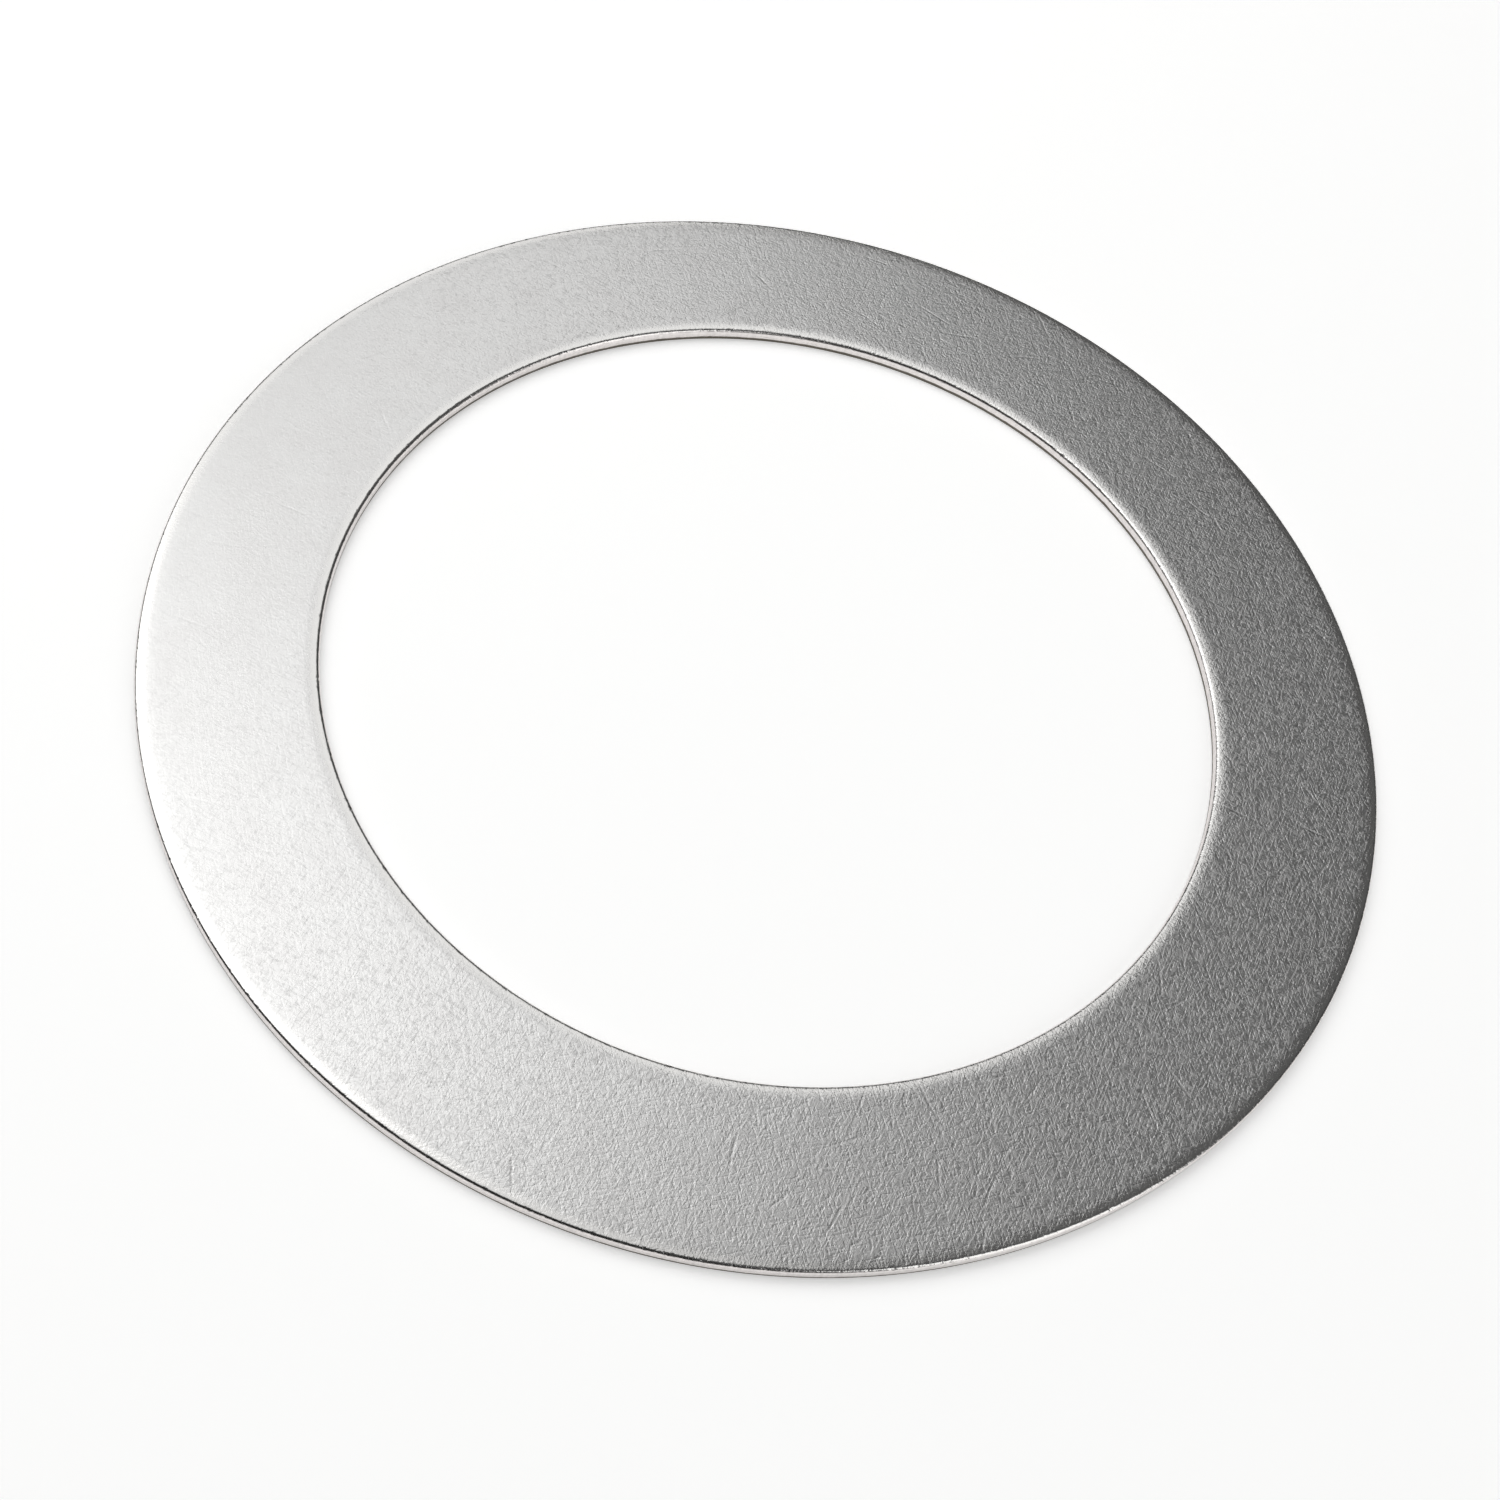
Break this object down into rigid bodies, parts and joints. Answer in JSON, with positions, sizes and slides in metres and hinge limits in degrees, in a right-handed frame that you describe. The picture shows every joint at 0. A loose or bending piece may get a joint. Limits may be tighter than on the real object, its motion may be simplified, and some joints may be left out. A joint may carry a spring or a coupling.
{
  "type": "shim ring",
  "caption": "Thin flat steel ring that fills axial play beside a bearing on a shaft or in a housing.",
  "frame": {"origin": "centre of the ring at its lower face, the burr side, which it lies on", "axes": "+Z along the axis of the bore, from the lower face to the rolled-over upper face; X and Y are any two directions across the ring, since it is round"},
  "size_m": [0.0417, 0.0416, 0.0005],
  "materials": {
    "tumbled_steel": "cold-rolled steel, blanked and vibratory tumbled to a satin surface of short random scratches"
  },
  "bodies": {
    "root": {"shim_ring": "tumbled_steel"}
  },
  "joints": []
}
